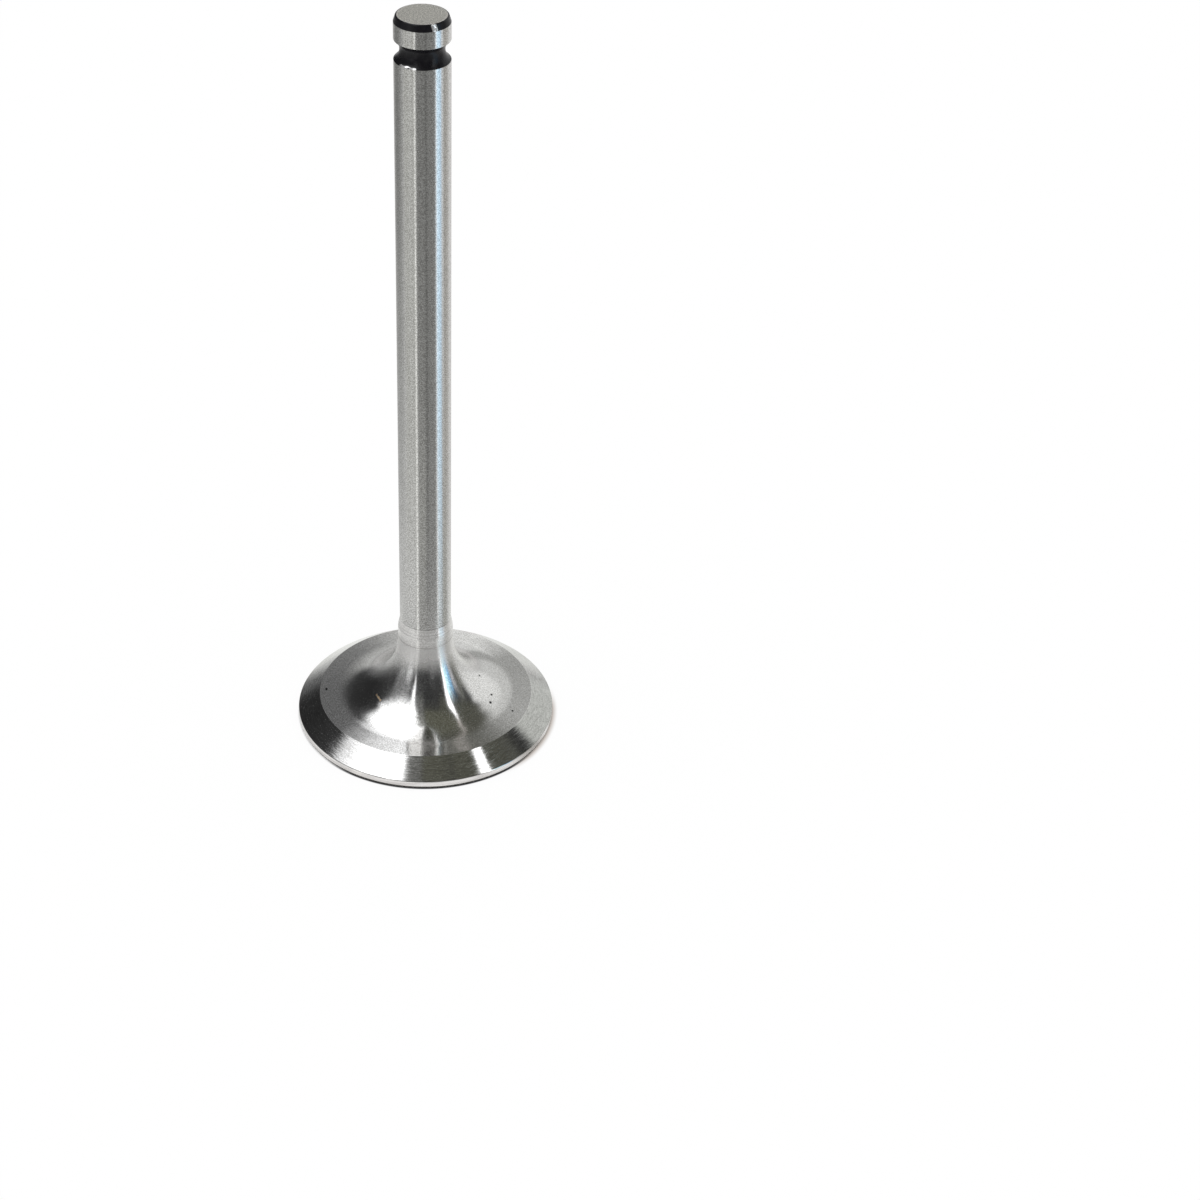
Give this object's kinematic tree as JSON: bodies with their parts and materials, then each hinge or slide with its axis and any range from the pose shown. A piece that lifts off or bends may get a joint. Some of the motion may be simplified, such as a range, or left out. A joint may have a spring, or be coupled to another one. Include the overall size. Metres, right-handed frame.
{
  "type": "engine valve",
  "caption": "Poppet valve for an engine: round head with a conical seat, concave back, ground stem, keeper groove and flat tip.",
  "frame": {"origin": "centre of the head's flat face, which the valve stands on", "axes": "+Z along the valve's axis from the head to the tip; X and Y lie in the plane of the face, and every direction in it is alike"},
  "size_m": [0.0406, 0.0406, 0.1191],
  "materials": {
    "valve_steel": "satin, ground on the stem and polished on the head's back, black in the groove, the tip's chamfer and the face's recess"
  },
  "bodies": {
    "root": {"valve": "valve_steel"}
  },
  "joints": []
}
